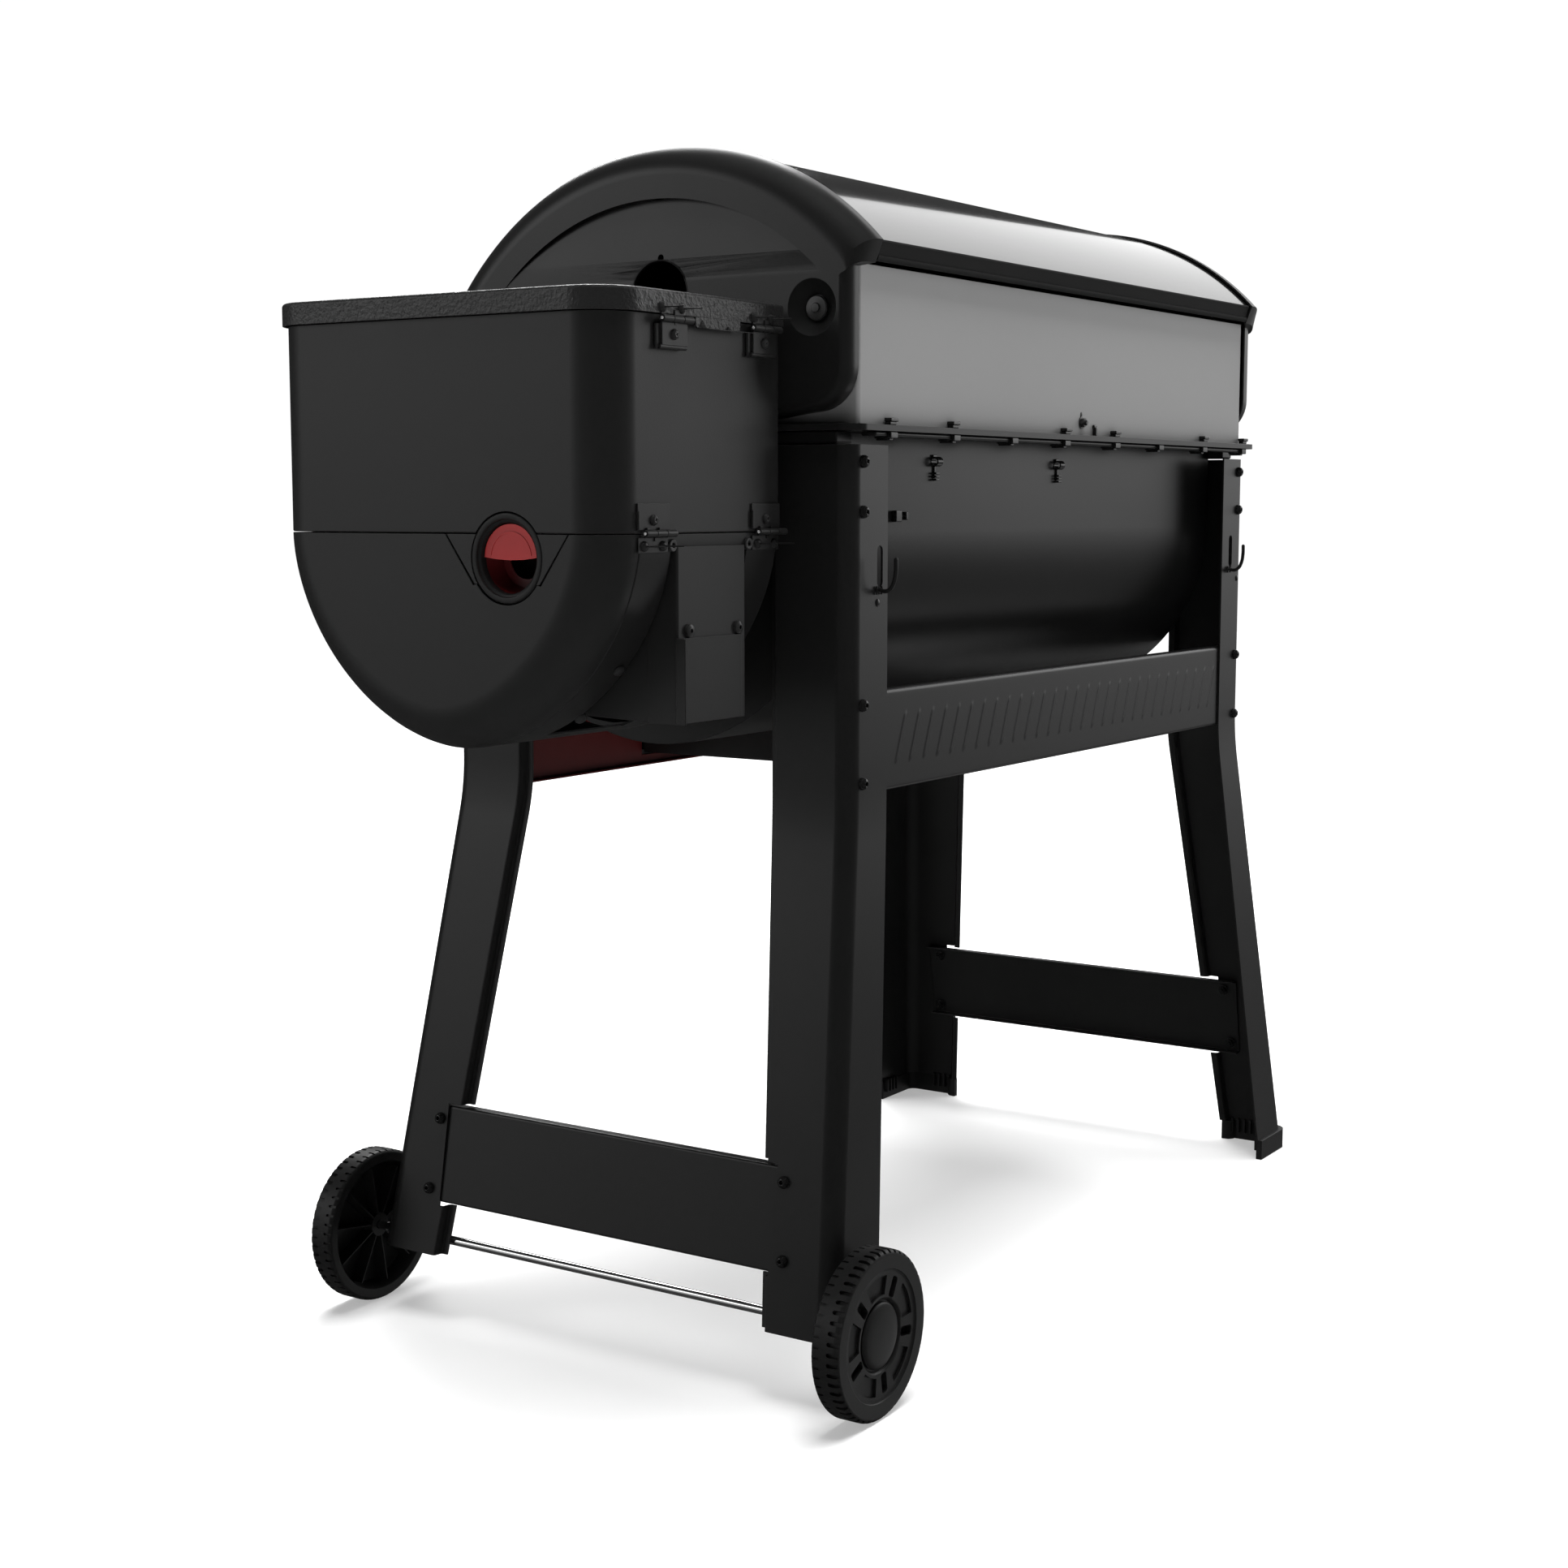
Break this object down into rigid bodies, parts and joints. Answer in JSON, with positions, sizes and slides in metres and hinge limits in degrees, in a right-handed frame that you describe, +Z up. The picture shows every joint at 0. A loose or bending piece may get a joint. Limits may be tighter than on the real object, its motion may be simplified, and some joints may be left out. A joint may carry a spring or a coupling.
{
  "type": "pellet smoker grill",
  "caption": "Barrel-shaped pellet smoker grill on a splayed leg stand with rear hinged lid, side pellet hopper, end wheels, feed auger and grease drawer.",
  "frame": {"origin": "middle of the whole grill's box at floor level", "axes": "+X towards the hopper and wheels, +Y towards the back, +Z up"},
  "size_m": [1.3688, 0.6604, 1.2075],
  "materials": {
    "powder_coat": "satin black powder coat",
    "textured_coat": "orange-peel textured black powder coat",
    "enamel": "glossy black enamel",
    "grey_coat": "satin dark grey coat",
    "bare_steel": "satin",
    "chrome_plate": "polished",
    "iron": "matte",
    "black_plastic": "satin",
    "red_plastic": "satin",
    "red_coat": "satin",
    "lens": "gloss"
  },
  "bodies": {
    "stand": {"leg_front_left": "powder_coat", "leg_front_right": "powder_coat", "leg_rear_left": "powder_coat", "leg_rear_right": "powder_coat", "foot_front_left": "black_plastic", "foot_rear_left": "black_plastic", "front_brace_panel": "red_coat", "rear_brace_panel": "powder_coat", "side_brace_left": "powder_coat", "side_brace_right": "powder_coat", "tool_hook_left": "powder_coat", "tool_hook_right": "powder_coat", "wheel_axle": "chrome_plate", "cook_box": "powder_coat", "rim_flange": "powder_coat", "rear_hood": "grey_coat", "lid_pivot_left": "bare_steel", "lid_pivot_right": "bare_steel", "cooking_grate_left": "iron", "cooking_grate_right": "iron", "warming_rack": "bare_steel", "heat_diffuser": "bare_steel", "fire_pot": "iron", "igniter_rod": "bare_steel", "drawer_sleeve": "powder_coat", "auger_tube": "bare_steel", "auger_motor": "bare_steel", "fan_housing": "black_plastic", "hopper_bin": "powder_coat", "hopper_bulkhead": "powder_coat", "hopper_funnel": "bare_steel", "hopper_lid_hinge_1": "powder_coat", "hopper_lid_hinge_2": "powder_coat", "shroud_hinge_1": "powder_coat", "shroud_hinge_2": "powder_coat", "pellet_chute": "powder_coat", "port_bezel": "black_plastic", "power_inlet": "black_plastic", "controller_housing": "black_plastic", "controller_display": "lens"},
    "lid": {"lid_skin": "enamel", "lid_end_cap_left": "powder_coat", "lid_end_cap_right": "powder_coat", "lid_handle": "bare_steel", "handle_bracket_left": "powder_coat", "handle_bracket_right": "powder_coat"},
    "hopper_cover": {"hopper_lid": "textured_coat"},
    "shroud": {"hopper_lower_shroud": "powder_coat"},
    "clean_out_door": {"chute_door": "powder_coat"},
    "shutter": {"port_shutter": "red_plastic"},
    "knob": {"controller_knob": "black_plastic"},
    "power_key": {"power_button": "red_plastic"},
    "mode_key": {"mode_button": "red_plastic"},
    "drawer": {"grease_drawer": "powder_coat"},
    "auger": {"auger_screw": "bare_steel"},
    "fan": {"fan_impeller": "bare_steel"},
    "rear_wheel": {"wheel_rear": "black_plastic", "hub_cap_rear": "black_plastic"},
    "front_wheel": {"wheel_front": "black_plastic", "hub_cap_front": "black_plastic"}
  },
  "joints": [
    {"name": "lid_hinge", "type": "hinge", "parent": "stand", "child": "lid", "pos_m": [-0.10325, 0.215, 1.0423], "axis": [-1, 0, 0], "range_deg": [0, 85]},
    {"name": "hopper_lid_hinge", "type": "hinge", "parent": "stand", "child": "hopper_cover", "pos_m": [0.41495, 0.2043, 1.0188], "axis": [-1, 0, 0], "range_deg": [0, 100]},
    {"name": "shroud_hinge", "type": "hinge", "parent": "stand", "child": "shroud", "pos_m": [0.41495, 0.2018, 0.8335], "axis": [1, 0, 0], "range_deg": [0, 35]},
    {"name": "chute_door_slide", "type": "slide", "parent": "stand", "child": "clean_out_door", "axis": [0, 0, -1], "range_m": [0, 0.045]},
    {"name": "port_shutter_turn", "type": "hinge", "parent": "stand", "child": "shutter", "pos_m": [0.67195, 0.084, 0.8118], "axis": [1, 0, 0], "range_deg": [0, 180]},
    {"name": "knob_turn", "type": "hinge", "parent": "stand", "child": "knob", "pos_m": [0.57675, -0.222, 0.895], "axis": [0, -1, 0], "continuous": true},
    {"name": "power_press", "type": "slide", "parent": "stand", "child": "power_key", "axis": [0, 1, 0], "range_m": [0, 0.0015], "stiffness_N_per_m": 400},
    {"name": "mode_press", "type": "slide", "parent": "stand", "child": "mode_key", "axis": [0, 1, 0], "range_m": [0, 0.0015], "stiffness_N_per_m": 400},
    {"name": "drawer_slide", "type": "slide", "parent": "stand", "child": "drawer", "axis": [0, -1, 0], "range_m": [0, 0.28]},
    {"name": "auger_turn", "type": "hinge", "parent": "stand", "child": "auger", "pos_m": [-0.02325, 0, 0.688], "axis": [1, 0, 0], "continuous": true},
    {"name": "fan_turn", "type": "hinge", "parent": "stand", "child": "fan", "pos_m": [0.43125, -0.068, 0.72], "axis": [1, 0, 0], "continuous": true},
    {"name": "rear_wheel_spin", "type": "hinge", "parent": "stand", "child": "rear_wheel", "pos_m": [0.44115, 0.301, 0.0818], "axis": [0, 1, 0], "continuous": true},
    {"name": "front_wheel_spin", "type": "hinge", "parent": "stand", "child": "front_wheel", "pos_m": [0.44115, -0.301, 0.0818], "axis": [0, 1, 0], "continuous": true}
  ]
}
